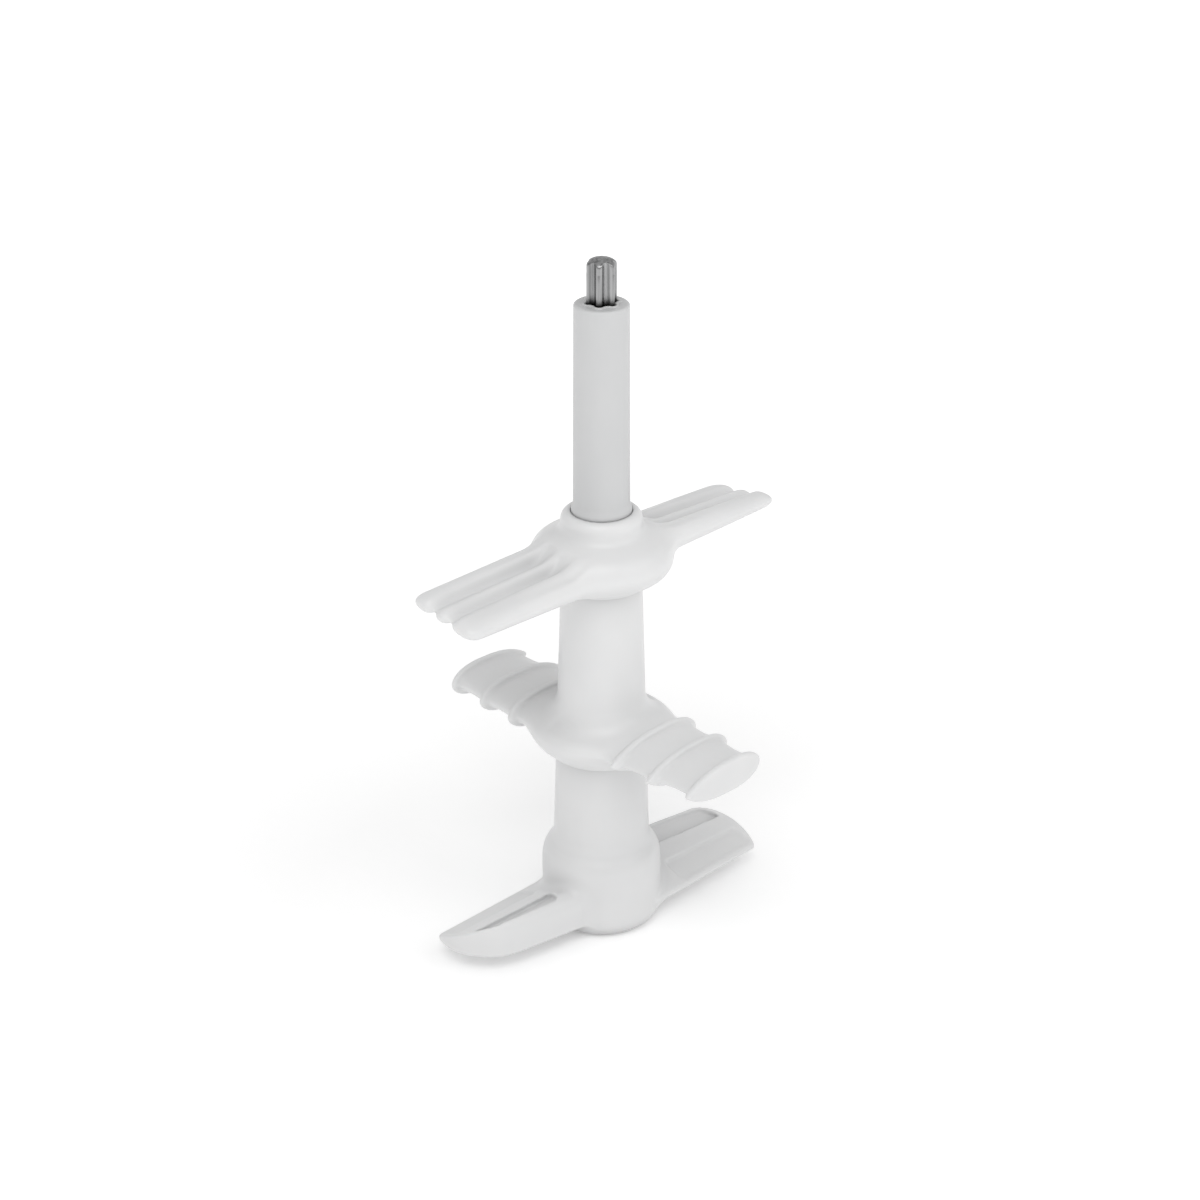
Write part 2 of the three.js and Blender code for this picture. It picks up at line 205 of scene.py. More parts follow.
COLLAR_ROUND = 2.4
COLLAR_FOOT = 97.0  # inside the hub
ROOF_SCALE = 0.89  # keeps the sloping roof's field a true distance


def upper_blade(x, y, z):
    """Three ribs with two deep grooves; both blades come from one by a half turn."""
    side = np.where(x < 0, -1.0, 1.0)
    reach = np.abs(x)
    across = y * side + UPPER_SWEEP * reach
    rise = z - UPPER_H
    u = across * math.cos(UPPER_PITCH) - rise * math.sin(UPPER_PITCH)
    w = rise * math.cos(UPPER_PITCH) + across * math.sin(UPPER_PITCH)

    w = np.where(w < 0, w * UNDERSIDE_SQUEEZE, w)
    t = np.clip((reach - UPPER_ROOT) / (UPPER_TIP - UPPER_ROOT), 0, 1)
    half = mix(ROOT_HALF_T, TIP_HALF_T, t)
    root_wall = smooth(np.hypot(x, y), 13.4, 15.6)  # the grooves end in a wall at the hub
    deep = mix(ROOT_GROOVE_DEPTH, TIP_GROOVE_DEPTH, t) * root_wall
    shallow = mix(FLANK_DEPTH, 0.0, smooth(reach, 15, 40)) * root_wall
    crown = half - CROWN_FALL * np.maximum(np.abs(u) - CROWN_FLAT, 0) ** 2
    for centre in GROOVES:
        crown = crown - deep * np.exp(-np.abs((u - centre) / GROOVE_HALF_W) ** 2.6)
    for centre in FLANK_GROOVES:
        crown = crown - shallow * np.exp(-((u - centre) / FLANK_HALF_W) ** 2)
    crown = crown - MIDDLE_RIB_DIP * np.exp(-((u + 0.65) / 1.2) ** 2) * root_wall

    notch = sum(NOTCH * np.exp(-((u - centre) / NOTCH) ** 2) for centre in GROOVES)
    to_tip = UPPER_TIP - 0.1 - notch - reach
    to_side = UPPER_HALF_W - np.abs(u)
    inside = -smax(-to_tip, -to_side, 3.4)
    rim = mix(ROOT_RIM, TIP_RIM, t)
    edge = np.clip(1 - inside / rim, 0, None)
    crown = np.maximum(crown, THINNEST_CROWN)
    blade = (np.sqrt((w / crown) ** 2 + edge ** 2) - 1) * np.minimum(crown, rim)
    return smax(blade, BLADE_START - reach, 1.0)


def upper_moulding(x, y, z):
    rho = np.hypot(x, y)
    hub = disc(rho, z, UPPER_HUB_R, UPPER_H - UPPER_HUB_ROUND, COLLAR_TOP, UPPER_HUB_ROUND, COLLAR_ROUND)
    roof = (z - UPPER_ROOF_TOP + UPPER_ROOF_SLOPE * (rho - COLLAR_R - 0.6)) * ROOF_SCALE
    hub = smax(hub, roof, 3.6)
    collar = disc(rho, z, COLLAR_R, COLLAR_FOOT, COLLAR_TOP, 1.0, COLLAR_ROUND)
    underside = smax((rho - neck_r(UPPER_FOOT) - 0.9 - (z - UPPER_FOOT) * 0.7) * 0.82,
                     np.maximum(UPPER_FOOT - z, z - 101.0), 0.7)
    field = smin(hub, underside, 1.2)
    field = smin(field, upper_blade(x, y, z), 3.2)
    field = smin(field, collar, 1.8)
    field = smax(field, z - COLLAR_TOP, 0.4)
    field = smax(field, UPPER_FOOT - z, 0.4)
    socket = np.maximum(rho - SOCKET_R, SLEEVE_FOOT - GAP - z)
    field = cut(field, socket, 0.15)
    return cavities(field, x, y, z, UPPER_FOOT, SLEEVE_FOOT - GAP, SLEEVE_SEAL_R)


# ---------------------------------------------------------------- middle moulding

FLANGES = (  # distance out, half width, half thickness
    (18.2, 15.4, 4.8),
    (29.6, 14.6, 4.6),
    (MIDDLE_TIP - 0.9, 13.5, 4.5),
)
FLANGE_HALF_T = 0.9
BODY_RECESS = 1.3  # how far the blade's body lies inside its flanges
WAIST = 0.25  # the body is drawn in this much more between two flanges
WAIST_HALF_L = 3.2
BELLY_SHIFT = 0.22  # the thickest place, as a share of the half width
THIN_RUN = 1.26  # the thin side's run, a little past the edge so that the edge keeps some thickness
THIN_POWER = 2.6
BLUNT_POWER = 2.5
MIDDLE_BLADE_START = 6.0
MIDDLE_HUB_LOW, MIDDLE_HUB_HIGH = 5.3, 2.6  # edge rounding of the hub below and above


def drop(c, w, width, thick):
    """Section of a middle blade: a thin edge towards -c and a blunt one towards +c."""
    belly = BELLY_SHIFT * width
    thin = np.clip((belly - c) / (width * THIN_RUN), 0, None)
    blunt = np.clip((c - belly) / (width - belly), 0, None)
    lens = thick * (1 - thin ** THIN_POWER)
    slope = thick * THIN_POWER * thin ** (THIN_POWER - 1) / (width * THIN_RUN)
    on_thin = (np.sqrt(w * w + 0.3) - lens) / np.sqrt(1 + slope ** 2)
    on_blunt = (np.sqrt((w / thick) ** 2 + blunt ** BLUNT_POWER) - 1) * thick
    return np.where(c < belly, on_thin, on_blunt)


def middle_blade(x, y, z):
    """A drop-shaped body between three flanges; both blades come from one by a half turn."""
    side = np.where(y > 0, -1.0, 1.0)
    reach = np.abs(y)
    c = x * side
    w = z - MIDDLE_H
    stations = [f[0] for f in FLANGES]
    width = np.interp(reach, stations, [f[1] for f in FLANGES])
    thick = np.interp(reach, stations, [f[2] for f in FLANGES])
    between = [(a + b) / 2 for a, b in zip(stations, stations[1:])]
    waist = sum(np.exp(-((reach - m) / WAIST_HALF_L) ** 2) for m in between)
    recess = BODY_RECESS + WAIST * waist
    body = drop(c, w, width - recess * 1.25, thick - recess)
    field = smax(body, reach - stations[2], 0.3)
    for out, half_width, half_thick in FLANGES:
        outline = drop(c, w, half_width, half_thick)
        plate = smax(outline, np.abs(reach - out) - FLANGE_HALF_T, 0.9)
        field = smin(field, plate, 1.0)
    return smax(field, MIDDLE_BLADE_START - reach, 1.0)


def middle_moulding(x, y, z):
    rho = np.hypot(x, y)
    hub_foot = MIDDLE_H - MIDDLE_HUB_LOW
    hub = disc(rho, z, MIDDLE_HUB_R, hub_foot, MIDDLE_HUB_TOP, MIDDLE_HUB_LOW, MIDDLE_HUB_HIGH)
    neck = smax(rho - neck_r(z), slab(z, MIDDLE_FOOT, MIDDLE_TOP), 0.5)
    underside = smax((rho - neck_r(MIDDLE_FOOT) - 0.5 - (z - MIDDLE_FOOT) * 1.1) * 0.7,
                     slab(z, MIDDLE_FOOT, MIDDLE_H - 4.2), 0.7)
    field = smin(hub, underside, 1.5)
    field = smin(field, middle_blade(x, y, z), 2.4)
    field = smin(field, neck, 6.2)
    field = smax(field, MIDDLE_FOOT - z, 0.4)
    return cavities(field, x, y, z, MIDDLE_FOOT, MIDDLE_TOP, NECK_SEAL_R)


# ---------------------------------------------------------------- lower moulding

RAMP_FOOT = 4.6
THIN_SIDE = 14.6
THIN_TOP = 6.1
LIP_TOP = 14.2
RAMP_SLOPE = 0.467
RAMP_SCALE = 0.906  # keeps the ramp's field a true distance
LIP_ROUND = 3.6
BLADE_CORNER = 4.0
HIGH_POCKET_DEPTH = 1.7
LOW_POCKET_EDGE = -13.4
LOWER_BLADE_START = 6.0
WELL_R, WELL_TOP = 6.4, 10.6  # room for the clamp screw and its washers
SEAT_R, SEAT_TOP = 7.9, 2.5  # seat of the foot plug
SCREW_HOLE_R = 2.3


def pocket(reach, across, z, near, far, start, end, floor):
    """A long pocket with rounded ends, cut down to a floor field."""
    sides = smax(near - across, across - far, 0.5)
    ends = smax(start - reach, reach - end, 0.5)
    plan = smax(sides, ends, 1.6)
    return smax(plan, floor - z, 0.9)


def lower_blade(x, y, z):
    """A wedge that climbs from a thin side to a lip, with a pocket on each side of a rib."""
    side = np.where(x < 0, -1.0, 1.0)
    reach = np.abs(x)
    across = y * side
    ramp_top = THIN_TOP + RAMP_SLOPE * (across + THIN_SIDE)
    down = np.clip((z - RAMP_FOOT) / (LIP_TOP - RAMP_FOOT), 0, 1)
    foot_line = mix(8.2, 4.6, np.clip((reach - 16) / 20, 0, 1))
    outer = (across - foot_line + 1.1 * down ** 1.5) * 0.95
    outer = smax(outer, z - LIP_TOP, LIP_ROUND)
    end_line = LOWER_TIP + 0.4 - 0.042 * (across + 9.2) ** 2
    end = (reach - end_line) * 0.9
    plan = smax(outer, end, BLADE_CORNER)
    plan = smax(plan, -THIN_SIDE - across, 0.6)
    field = smax(plan, (z - ramp_top) * RAMP_SCALE, 0.5)
    field = smax(field, RAMP_FOOT - z, 0.6)

    lip_line = 3.7 - 0.15 * (reach - 23)
    rib_line = -1.6 - 0.07 * (reach - 20)
    high_start = 17.6 + 0.45 * (across + 1.6)
    high_end = 43.4 - 0.79 * (across + 3.2)
    high_floor = ramp_top - HIGH_POCKET_DEPTH
    high_pocket = pocket(reach, across, z, rib_line, lip_line, high_start, high_end, high_floor)
    low_line = -6.9 - 0.04 * (reach - 17)
    low_end = 44.0 - 0.2 * (across + 8.0)
    low_floor = ramp_top - mix(0.25, 1.0, np.clip((across - LOW_POCKET_EDGE) / 6, 0, 1))
    low_pocket = pocket(reach, across, z, LOW_POCKET_EDGE, low_line, 17.0, low_end, low_floor)
    field = cut(cut(field, high_pocket, 0.5), low_pocket, 0.5)
    return smax(field, LOWER_BLADE_START - reach, 1.0)


def lower_moulding(x, y, z):
    rho = np.hypot(x, y)
    shoulder = LOWER_HUB_R - neck_r(LOWER_SHOULDER_TOP)
    body = disc(rho, z, LOWER_HUB_R, 0.0, 40.0, FOOT_ROUND, 4.0)
    drawn = np.hypot(np.maximum(rho - LOWER_HUB_R + shoulder, 0) / shoulder,
                     np.maximum(z - LOWER_SHOULDER, 0) / (LOWER_SHOULDER_TOP - LOWER_SHOULDER)) - 1
    hub = smax(body, drawn * shoulder, 0.6)
    neck = smax(rho - neck_r(z), slab(z, 2.0, LOWER_TOP), 0.5)
    field = smin(hub, lower_blade(x, y, z), 2.4)
    field = smin(field, neck, 1.8)
    field = smax(field, -z, 0.3)
    well = np.maximum(rho - WELL_R, z - WELL_TOP)
    seat = np.maximum(rho - SEAT_R, z - SEAT_TOP)
    screw_hole = np.maximum(rho - SCREW_HOLE_R, z - SHAFT_FOOT)
    for hole in (well, seat, screw_hole):
        field = cut(field, hole, 0.3)
    return cavities(field, x, y, z, None, LOWER_TOP, NECK_SEAL_R)


# ---------------------------------------------------------------- meshing

GRID_MARGIN = 1.2
PROBE = 0.02  # step for the field's gradient
FLATTEST = 0.05  # squared slope below which a move is held back
LONGEST_MOVE = 0.4  # in grid cells


def surface_net(field, lows, highs, cell):
    """Quads on the zero surface of a field, one point in each grid cell that it crosses."""
    margin = GRID_MARGIN + cell
    axes = [np.arange(lo - margin, hi + margin, cell) for lo, hi in zip(lows, highs)]
    grid = np.stack(np.meshgrid(*axes, indexing="ij"), -1)
    value = field(grid[..., 0], grid[..., 1], grid[..., 2]).astype(np.float32)
    shape = tuple(n - 1 for n in value.shape)
    total = np.zeros(shape + (3,), np.float32)
    count = np.zeros(shape, np.float32)
    corner = [(i, j, k) for i in (0, 1) for j in (0, 1) for k in (0, 1)]

    def at(offset):
        i, j, k = offset
        return value[i:i + shape[0], j:j + shape[1], k:k + shape[2]]

    for a in corner:
        for axis in range(3):
            if a[axis]:
                continue
            b = tuple(1 if n == axis else a[n] for n in range(3))
            va, vb = at(a), at(b)
            crossed = (va < 0) != (vb < 0)
            share = np.where(crossed, va / np.where(crossed, va - vb, 1), 0)
            for n in range(3):
                place = share if n == axis else a[n]
                total[..., n] += np.where(crossed, place, 0)
            count += crossed
    used = count > 0
    number = np.full(shape, -1, np.int64)
    number[used] = np.arange(used.sum())
    cells = np.argwhere(used)
    origin = np.array([ax[0] for ax in axes])
    points = origin + (cells + total[used] / count[used][:, None]) * cell

    quads = []
    for axis in range(3):
        p, q = [n for n in range(3) if n != axis]
        if axis == 1:
            p, q = q, p
        inner = [slice(1, n - 1) for n in value.shape]
        inner[axis] = slice(0, value.shape[axis] - 1)
        shifted = list(inner)
        shifted[axis] = slice(1, value.shape[axis])
        va, vb = value[tuple(inner)], value[tuple(shifted)]
        crossed = np.argwhere((va < 0) != (vb < 0))
        if not len(crossed):
            continue
        base = crossed + np.array([0 if n == axis else 1 for n in range(3)])
        rising = va[tuple(crossed.T)] < 0
        step_p = np.eye(3, dtype=int)[p]
        step_q = np.eye(3, dtype=int)[q]
        steps = (step_p + step_q, step_q, np.zeros(3, dtype=int), step_p)
        ring = [number[tuple((base - step).T)] for step in steps]
        quad = np.stack(ring, 1)
        quad[~rising] = quad[~rising][:, ::-1]
        quads.append(quad)
    return points, np.concatenate(quads)


def settle(points, field, cell, rounds=4):
    """Moves points onto the zero surface along the field's gradient."""
    for _ in range(rounds):
        value = field(*points.T)
        slope = np.stack([
            (field(*(points + PROBE * axis).T) - field(*(points - PROBE * axis).T)) / (2 * PROBE)
            for axis in np.eye(3)
        ], 1)
        size = np.maximum((slope ** 2).sum(1), FLATTEST)
        move = -value[:, None] * slope / size[:, None]
        length = np.linalg.norm(move, axis=1, keepdims=True)
        points = points + move * np.minimum(1, LONGEST_MOVE * cell / np.maximum(length, 1e-9))
    return points


def make_object(name, points, faces, node, material):
    """A smooth mesh object that stands in for one CAD node."""
    mesh = bpy.data.meshes.new(name)
    sizes = np.array([len(f) for f in faces])
    mesh.vertices.add(len(points))
    mesh.vertices.foreach_set("co", (np.asarray(points) * MM).astype(np.float32).ravel())
    mesh.loops.add(int(sizes.sum()))
    flat = np.concatenate([np.asarray(f) for f in faces]) if isinstance(faces, list) else faces.ravel()
    mesh.loops.foreach_set("vertex_index", flat.astype(np.int32))
    mesh.polygons.add(len(sizes))
    mesh.polygons.foreach_set("loop_start", (np.cumsum(sizes) - sizes).astype(np.int32))
    mesh.polygons.foreach_set("loop_total", sizes.astype(np.int32))
    mesh.update(calc_edges=True)
    mesh.validate()
    mesh.shade_smooth()
    mesh.materials.append(material)
    obj = bpy.data.objects.new(name, mesh)
    bpy.context.scene.collection.objects.link(obj)
    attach(obj, "root")
    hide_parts(node)
    return obj


def moulding(name, node, field, material):
    """Meshes a field inside the box of the CAD node that it stands in for."""
    lo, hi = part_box(node)
    points, quads = surface_net(field, np.array(lo) / MM, np.array(hi) / MM, CELL)
    points = settle(points, field, CELL)
    return make_object(name, points, quads, node, material)


def swept(rings):
    """Quads that join closed rings of points, with a fan over the first and last ring."""
    count = len(rings[0])
    points = [p for ring in rings for p in ring]
    faces = []
    for r in range(len(rings) - 1):
        for i in range(count):
            a, b = r * count + i, r * count + (i + 1) % count
            faces.append((a, b, b + count, a + count))
    for r, flip in ((0, True), (len(rings) - 1, False)):
        centre = len(points)
        points.append(np.mean(rings[r], axis=0))
        for i in range(count):
            a, b = r * count + i, r * count + (i + 1) % count
            faces.append((centre, b, a) if flip else (centre, a, b))
    return points, faces


def ring_of(radii, z, angles):
    """Points at one height, one for each angle."""
    return np.stack([radii * np.cos(angles), radii * np.sin(angles), np.full_like(angles, z)], 1)


# ---------------------------------------------------------------- materials

def principled(name, colour, metallic, roughness):
    material = bpy.data.materials.new(name)
    material.use_nodes = True
    tree = material.node_tree
    shader = tree.nodes["Principled BSDF"]
    shader.inputs["Base Color"].default_value = (*colour, 1)
    shader.inputs["Metallic"].default_value = metallic
    shader.inputs["Roughness"].default_value = roughness
    return material, tree, shader


def noise(tree, scale, detail, stretch=(1, 1, 1)):
    where = tree.nodes.new("ShaderNodeTexCoord")
    place = tree.nodes.new("ShaderNodeMapping")
    place.inputs["Scale"].default_value = stretch
    tree.links.new(where.outputs["Object"], place.inputs["Vector"])
    texture = tree.nodes.new("ShaderNodeTexNoise")
    texture.inputs["Scale"].default_value = scale
    texture.inputs["Detail"].default_value = detail
    tree.links.new(place.outputs["Vector"], texture.inputs["Vector"])
    return texture.outputs["Fac"]


def ramp(tree, source, stops):
    node = tree.nodes.new("ShaderNodeValToRGB")
    node.color_ramp.elements[0].position = stops[0][0]
    node.color_ramp.elements[0].color = (*stops[0][1], 1)
    node.color_ramp.elements[1].position = stops[-1][0]
    node.color_ramp.elements[1].color = (*stops[-1][1], 1)
    for position, colour in stops[1:-1]:
        element = node.color_ramp.elements.new(position)
        element.color = (*colour, 1)
    tree.links.new(source, node.inputs["Fac"])
    return node.outputs["Color"]


def spread(tree, source, low_value, high_value):
    node = tree.nodes.new("ShaderNodeMapRange")
    node.inputs["To Min"].default_value = low_value
    node.inputs["To Max"].default_value = high_value
    tree.links.new(source, node.inputs["Value"])
    return node.outputs["Result"]


def bump(tree, shader, source, strength, distance, under=None):
    node = tree.nodes.new("ShaderNodeBump")
    node.inputs["Strength"].default_value = strength
    node.inputs["Distance"].default_value = distance
    tree.links.new(source, node.inputs["Height"])
    if under is not None:
        tree.links.new(under, node.inputs["Normal"])
    tree.links.new(node.outputs["Normal"], shader.inputs["Normal"])
    return node.outputs["Normal"]


def times(tree, first, second):
    both = tree.nodes.new("ShaderNodeMix")
    both.data_type = "RGBA"
    both.blend_type = "MULTIPLY"
    both.inputs["Factor"].default_value = 1.0
    tree.links.new(first, both.inputs[6])
    tree.links.new(second, both.inputs[7])
    return both.outputs[2]


def painted_hollow_shade(tree, colour, reach=0.006, deepest=0.74, closed_at=0.25):
    """Darkens a colour where the surface is closed in: painted shade in hollows and crevices."""
    closed = tree.nodes.new("ShaderNodeAmbientOcclusion")
    closed.samples = 8
    closed.inputs["Distance"].default_value = reach
    # the ramp sets how dark the painted shade gets in the most closed-in places
    shade = ramp(tree, closed.outputs["AO"], [(closed_at, (deepest,) * 3), (0.92, (1.0,) * 3)])
    return times(tree, colour, shade)


def plastic(name, light, dark, gloss, glow):
    """Milky moulded plastic: cloudy colour, fine moulding texture, light that soaks in, and painted
    shade in its hollows.
    """
    material, tree, shader = principled(name, light, 0.0, gloss)
    cloud = noise(tree, 55, 3)
    colour = ramp(tree, cloud, [(0.3, dark), (0.7, light)])
    # the cloudy colour gets painted shade where the surface is closed in
    tree.links.new(painted_hollow_shade(tree, colour), shader.inputs["Base Color"])
    shader.inputs["Subsurface Weight"].default_value = glow
    shader.inputs["Subsurface Radius"].default_value = (1.0, 0.97, 0.94)
    shader.inputs["Subsurface Scale"].default_value = 0.0022
    shader.inputs["IOR"].default_value = 1.47
    rough = spread(tree, noise(tree, 160, 4), gloss - 0.07, gloss + 0.09)
    tree.links.new(rough, shader.inputs["Roughness"])
    flow = bump(tree, shader, noise(tree, 90, 2), 0.10, 0.0006)
    bump(tree, shader, noise(tree, 1900, 3), 0.10, 0.00005, flow)
    return material


def from_axis(tree, near, far):
    """0 at one distance from the shaft's axis and 1 at a larger one, both in metres."""
    where = tree.nodes.new("ShaderNodeTexCoord")
    flat = tree.nodes.new("ShaderNodeVectorMath")
    flat.operation = "MULTIPLY"
    flat.inputs[1].default_value = (1, 1, 0)
    tree.links.new(where.outputs["Object"], flat.inputs[0])
    length = tree.nodes.new("ShaderNodeVectorMath")
    length.operation = "LENGTH"
    tree.links.new(flat.outputs["Vector"], length.inputs[0])
    node = tree.nodes.new("ShaderNodeMapRange")
    node.inputs["From Min"].default_value = near
    node.inputs["From Max"].default_value = far
    tree.links.new(length.outputs["Value"], node.inputs["Value"])
    return node.outputs["Result"]


def steel(name, tint, gloss, stretch, paint_groove_shade=False):
    """Ground steel with fine scratches along one direction, with painted shade down in its grooves if it
    has any.
    """
    material, tree, shader = principled(name, tint, 1.0, gloss)
    streak = noise(tree, 1500, 4, stretch)
    dark = tuple(c * 0.5 for c in tint)
    colour = ramp(tree, streak, [(0.35, dark), (0.65, tint)])
    if paint_groove_shade:
        # painted shade down in the flutes
        colour = painted_hollow_shade(tree, colour, 0.003, 0.03, 0.6)
    tree.links.new(colour, shader.inputs["Base Color"])
    tree.links.new(spread(tree, streak, gloss - 0.06, gloss + 0.14), shader.inputs["Roughness"])
    bump(tree, shader, streak, 0.25, 0.00004)
    return material


def rubber(name):
    """Black seal rubber with a fine grain."""
    material, tree, shader = principled(name, (0.03, 0.03, 0.032), 0.0, 0.6)
    cloud = noise(tree, 300, 3)
    shades = [(0.3, (0.022, 0.022, 0.024)), (0.7, (0.04, 0.04, 0.042))]
    tree.links.new(ramp(tree, cloud, shades), shader.inputs["Base Color"])
    bump(tree, shader, noise(tree, 1600, 2), 0.3, 0.00005)
    return material


WHITE = plastic("milky_white_plastic", (0.735, 0.736, 0.737), (0.705, 0.707, 0.71), 0.34, 0.2)
GREY = plastic("light_grey_plastic", (0.575, 0.578, 0.58), (0.55, 0.554, 0.558), 0.42, 0.1)
# the shaft's flutes get painted shade
PIN_STEEL = steel("drawn_steel", (0.40, 0.402, 0.405), 0.24, (1, 1, 0.02), paint_groove_shade=True)
SMALL_STEEL = steel("turned_steel", (0.55, 0.555, 0.56), 0.3, (1, 1, 1))
RUBBER = rubber("seal_rubber")

# ---------------------------------------------------------------- mouldings

moulding("upper_moulding", "upper_paddle", upper_moulding, WHITE)
moulding("middle_moulding", "middle_paddle", middle_moulding, WHITE)
moulding("lower_moulding", "lower_paddle", lower_moulding, WHITE)

# ---------------------------------------------------------------- shaft

TAP_R = 2.2
TAP_DEPTH = 13.0
TURNS = np.arange(180) / 180 * 2 * math.pi


def shaft_rings():
    """From the tap hole's bottom, out under the foot, up the flutes and over the dome."""
    outline = fluted_r(TURNS, 0)
    dome_foot = SHAFT_TOP - DOME_H
    rings = [ring_of(np.full_like(TURNS, TAP_R * 0.1), SHAFT_FOOT + TAP_DEPTH, TURNS)]
    rings.append(ring_of(np.full_like(TURNS, TAP_R), SHAFT_FOOT + TAP_DEPTH - 0.6, TURNS))
    rings.append(ring_of(np.full_like(TURNS, TAP_R), SHAFT_FOOT + 0.3, TURNS))
    rings.append(ring_of(np.full_like(TURNS, TAP_R + 0.25), SHAFT_FOOT, TURNS))
    rings.append(ring_of(outline - 0.3, SHAFT_FOOT, TURNS))
    rings.append(ring_of(outline, SHAFT_FOOT + 0.35, TURNS))
    rings += [ring_of(outline, z, TURNS) for z in np.linspace(SHAFT_FOOT + 4, dome_foot - 1.6, 60)]
    for t in np.linspace(0, 1, 34):
        z = dome_foot - 1.5 + (SHAFT_TOP - dome_foot + 1.5) * math.sin(t * math.pi / 2)
        drop_in = np.clip((z - dome_foot) / DOME_H, 0, 1)
        dome = (LOBE_R + 0.02) * math.sqrt(max(0.0, 1 - drop_in ** 2)) - 0.06 * (1 - t)
        radii = smin(outline, np.full_like(outline, dome + 0.08 * (1 - t)), 0.25)
        rings.append(ring_of(np.maximum(radii, 0.02), z, TURNS))
    return rings


points, faces = swept(shaft_rings())
make_object("fluted_shaft", points, faces, "drive_shaft", PIN_STEEL)

# ---------------------------------------------------------------- sleeve

LIP_H = 0.35
LIP_W = 0.9
CLIP_WELL_R = 5.5
CLIP_WELL_TOP = SLEEVE_FOOT + 2.3
SLEEVE_WAIST_R = 7.05  # just above the flare
SLEEVE_EDGE = 0.6  # rounding of the top edge
FLARE_H = 2.2
FOOT_CHAMFER = 0.3


def sleeve_rings():
    """From the clip's well, out under the foot, up the outside, over the lip and down the bore."""
    bore = fluted_r(TURNS, GAP)
    level = np.full_like(TURNS, 1.0)
    rings = [ring_of(bore, CLIP_WELL_TOP, TURNS), ring_of(level * CLIP_WELL_R, CLIP_WELL_TOP, TURNS)]
    rings.append(ring_of(level * CLIP_WELL_R, SLEEVE_FOOT, TURNS))
    rings.append(ring_of(level * (SLEEVE_FLARE - FOOT_CHAMFER), SLEEVE_FOOT, TURNS))
    rings.append(ring_of(level * SLEEVE_FLARE, SLEEVE_FOOT + FOOT_CHAMFER, TURNS))
    rings.append(ring_of(level * SLEEVE_FLARE, COLLAR_TOP, TURNS))
    for t in np.linspace(0, 1, 7):
        radius = SLEEVE_WAIST_R + (SLEEVE_FLARE - SLEEVE_WAIST_R) * (1 - smooth(t, 0, 1))
        rings.append(ring_of(level * radius, COLLAR_TOP + 0.15 + FLARE_H * t, TURNS))
    for t in np.linspace(0, 1, 30):
        height = mix(COLLAR_TOP + 3.0, SLEEVE_TOP - SLEEVE_EDGE, t)
        rings.append(ring_of(level * mix(SLEEVE_WAIST_R, SLEEVE_R, t), height, TURNS))
    for angle in np.linspace(0, math.pi / 2, 8)[1:]:
        radius = SLEEVE_R - SLEEVE_EDGE + SLEEVE_EDGE * math.cos(angle)
        height = SLEEVE_TOP - SLEEVE_EDGE + SLEEVE_EDGE * math.sin(angle)
        rings.append(ring_of(level * radius, height, TURNS))
    lip_out = fluted_r(TURNS, GAP + LIP_W)
    rings.append(ring_of((lip_out + level * (SLEEVE_R - SLEEVE_EDGE)) / 2 + 0.15, SLEEVE_TOP, TURNS))
    rings.append(ring_of(lip_out + 0.25, SLEEVE_TOP, TURNS))
    for angle in np.linspace(0, math.pi, 9):
        radius = fluted_r(TURNS, GAP + LIP_W / 2) + LIP_W / 2 * math.cos(angle)
        height = SLEEVE_TOP + LIP_H * math.sin(angle) ** 0.7
        rings.append(ring_of(radius, height, TURNS))
    rings.append(ring_of(bore, SLEEVE_TOP - 0.6, TURNS))
    rings += [ring_of(bore, z, TURNS) for z in np.linspace(SLEEVE_TOP - 1, CLIP_WELL_TOP + 1, 12)]
    return rings


def closed_tube(rings):
    """Quads round a set of rings whose last ring joins the first."""
    count = len(rings[0])
    total = len(rings)
    faces = []
    for r in range(total):
        here, after = r * count, ((r + 1) % total) * count
        for i in range(count):
            j = (i + 1) % count
            faces.append((here + i, here + j, after + j, after + i))
    return [p for ring in rings for p in ring], faces


points, faces = closed_tube(sleeve_rings())
make_object("grey_sleeve", points, faces, "drive_sleeve", GREY)

# ---------------------------------------------------------------- foot plug

PLUG_R = 7.6
PLUG_H = 2.2


def plug_rings():
    """Turned plug with a dimple and a raised ring on its underside."""
    profile = [(0.4, 0.9), (1.9, 0.9), (2.2, 0.75), (2.5, 0.3), (2.8, 0.0), (4.6, 0.0), (4.8, 0.25)]
    profile += [(5.1, 0.35), (5.4, 0.25), (5.6, 0.0), (PLUG_R - 0.4, 0.0), (PLUG_R - 0.1, 0.1)]
    profile += [(PLUG_R, 0.4), (PLUG_R, PLUG_H - 0.3), (PLUG_R - 0.3, PLUG_H), (0.4, PLUG_H)]
    return [ring_of(np.full_like(TURNS, r), z, TURNS) for r, z in profile]


points, faces = swept(plug_rings())
make_object("turned_foot_plug", points, faces, "foot_plug", WHITE)

# ---------------------------------------------------------------- carried-over CAD nodes

CARRIED = {
    "shaft_clip": SMALL_STEEL,
    "clamp_washer": SMALL_STEEL,
    "lock_washer": SMALL_STEEL,
    "clamp_screw": SMALL_STEEL,
    "sleeve_seal_ring": RUBBER,
    "upper_seal_ring": RUBBER,
    "lower_seal_ring": RUBBER,
}
for node, material in CARRIED.items():
    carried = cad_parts[node]
    carried.data.materials.clear()
    carried.data.materials.append(material)

# ---------------------------------------------------------------- floor, light and camera

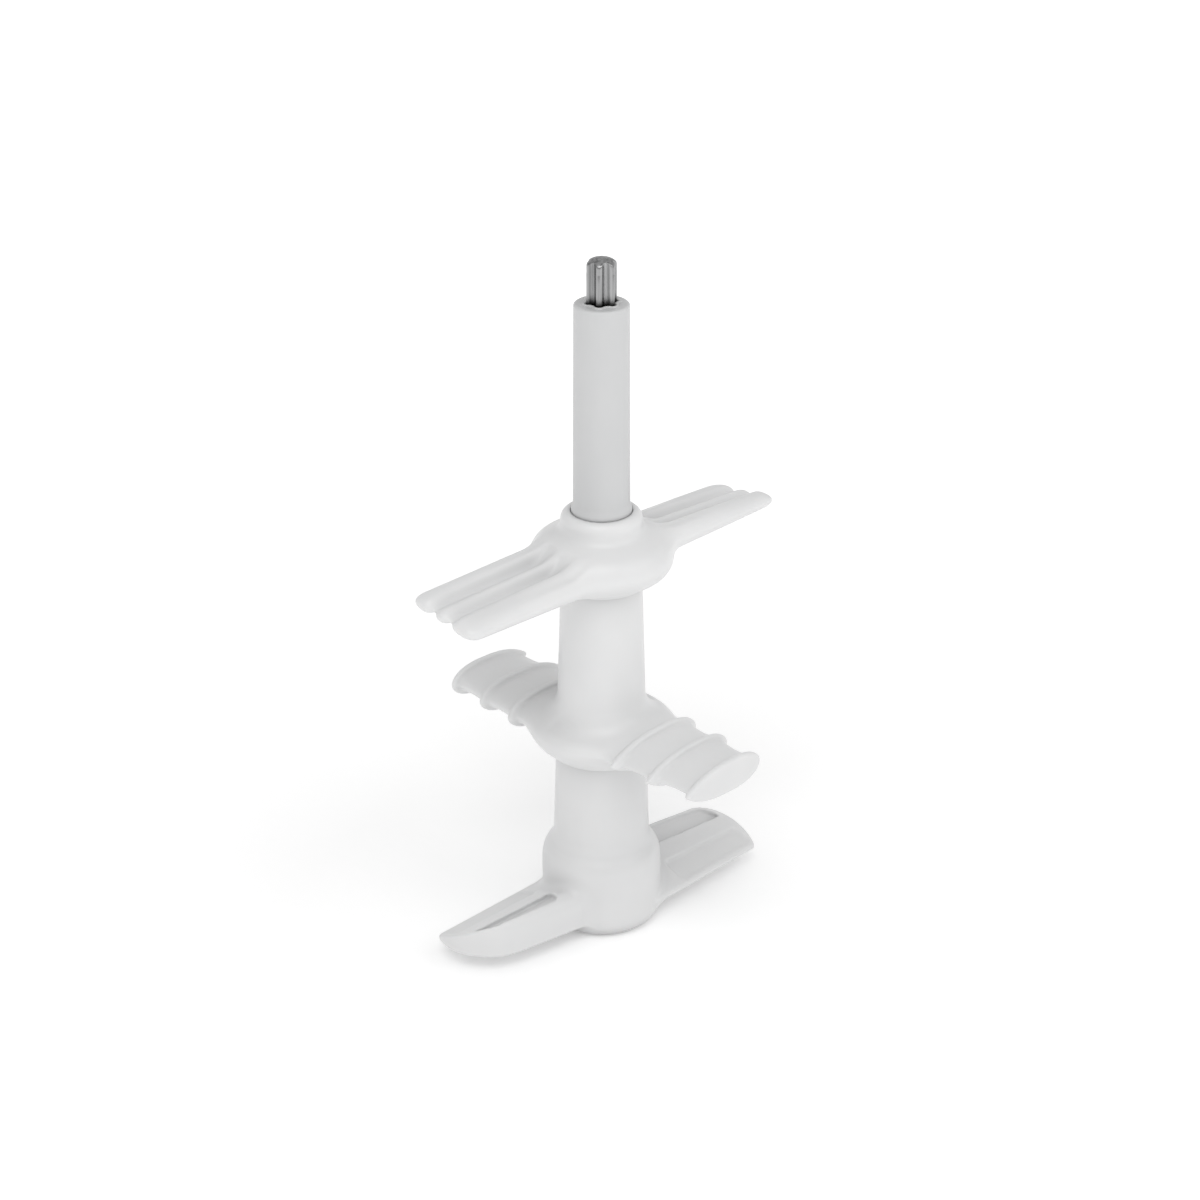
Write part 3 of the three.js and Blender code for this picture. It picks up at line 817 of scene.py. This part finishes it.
FLOOR_REACH = 6.0
FLOOR_LEVEL = -0.00005
floor_mesh = bpy.data.meshes.new("floor")
corners = [(a * FLOOR_REACH, b * FLOOR_REACH) for a, b in ((-1, -1), (1, -1), (1, 1), (-1, 1))]
floor_mesh.from_pydata([(x, y, FLOOR_LEVEL) for x, y in corners], [], [(0, 1, 2, 3)])
floor = bpy.data.objects.new("floor", floor_mesh)
bpy.context.scene.collection.objects.link(floor)
floor_material, floor_tree, floor_shader = principled("pale_floor", (0.95, 0.95, 0.95), 0.0, 0.9)
floor_shader.inputs["Specular IOR Level"].default_value = 0.0
floor_shader.inputs["Emission Color"].default_value = (1, 1, 1, 1)
# Painted light: the floor glows, weakly near the shaft so that shadows show there and more strongly
# further out so that the far floor reads white
painted_floor_glow = from_axis(floor_tree, 0.08, 0.5)
floor_tree.links.new(spread(floor_tree, painted_floor_glow, 0.17, 0.58), floor_shader.inputs["Emission Strength"])
floor_mesh.materials.append(floor_material)

world = bpy.data.worlds.new("studio")
world.use_nodes = True
background = world.node_tree.nodes["Background"]
background.inputs["Color"].default_value = (1, 1, 1, 1)
background.inputs["Strength"].default_value = 0.64
bpy.context.scene.world = world
bpy.context.scene.view_settings.view_transform = "Standard"

MIDDLE = Vector((0, 0, 0.09))


def softbox(name, place, size, power):
    """A round soft light that faces the middle of the object."""
    data = bpy.data.lights.new(name, "AREA")
    data.shape = "DISK"
    data.size = size
    data.energy = power
    light = bpy.data.objects.new(name, data)
    light.location = place
    light.rotation_euler = (MIDDLE - Vector(place)).to_track_quat("-Z", "Y").to_euler()
    bpy.context.scene.collection.objects.link(light)


CAMERA_HEADING = math.radians(-135.7)


def around(degrees_from_camera, distance, height):
    """A place at an angle from the camera's side of the object, seen from above."""
    heading = CAMERA_HEADING + math.radians(degrees_from_camera)
    return (distance * math.cos(heading), distance * math.sin(heading), height)


softbox("key", around(-8, 0.5, 0.8), 0.6, 2.2)
softbox("fill", around(65, 0.6, 0.6), 0.6, 0.8)

ELEVATION = math.radians(26.1)
DISTANCE = 0.6195
TARGET = Vector((0, 0, 0.091))
SIDE_STEP = 0.000375  # the axis stands just right of the frame's centre
SENSOR_WIDTH = 36
FOCAL_LENGTH = 74.34

toward = Vector((math.cos(ELEVATION) * math.cos(CAMERA_HEADING),
                 math.cos(ELEVATION) * math.sin(CAMERA_HEADING), math.sin(ELEVATION)))
right = Vector((-math.sin(CAMERA_HEADING), math.cos(CAMERA_HEADING), 0))
camera_data = bpy.data.cameras.new("camera")
camera_data.sensor_width = SENSOR_WIDTH
camera_data.lens = FOCAL_LENGTH
camera_data.clip_start = 0.01
camera = bpy.data.objects.new("camera", camera_data)
camera.location = TARGET + toward * DISTANCE - right * SIDE_STEP
camera.rotation_euler = toward.to_track_quat("Z", "Y").to_euler()
bpy.context.scene.collection.objects.link(camera)
bpy.context.scene.camera = camera

# ---------------------------------------------------------------- close

bpy.context.view_layer.update()
